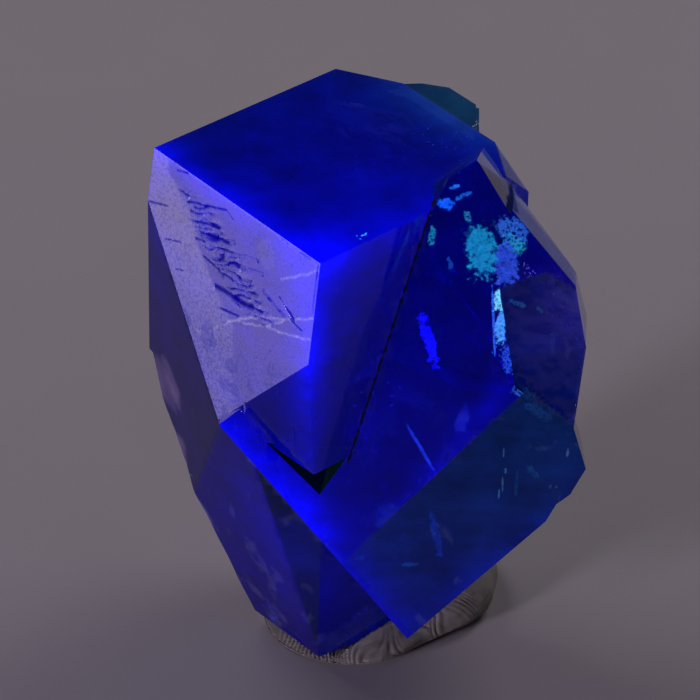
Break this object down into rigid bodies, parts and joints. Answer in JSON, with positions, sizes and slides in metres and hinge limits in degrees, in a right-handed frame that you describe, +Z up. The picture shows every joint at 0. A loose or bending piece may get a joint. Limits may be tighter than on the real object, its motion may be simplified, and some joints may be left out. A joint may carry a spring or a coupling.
{
  "type": "raw fluorite specimen",
  "caption": "Raw fluorite specimen: intergrown cubic crystals with flat glassy faces and a broken back, glowing blue as under a UV lamp, standing on a kneaded lump of mineral tack.",
  "frame": {"origin": "centre of the mineral tack's flat underside, on the surface the specimen stands on", "axes": "+Z up; -Y towards the front, where the corner between the etched face and the twin's face points; +X to the right seen from the front"},
  "size_m": [0.0366, 0.0303, 0.047],
  "materials": {
    "fluorite": "clear natural crystal faces, glowing saturated blue under ultraviolet light",
    "mineral_tack": "matt kneaded putty with fingerprint ridges"
  },
  "bodies": {
    "root": {"fluorite": "fluorite", "mineral_tack": "mineral_tack"}
  },
  "joints": []
}
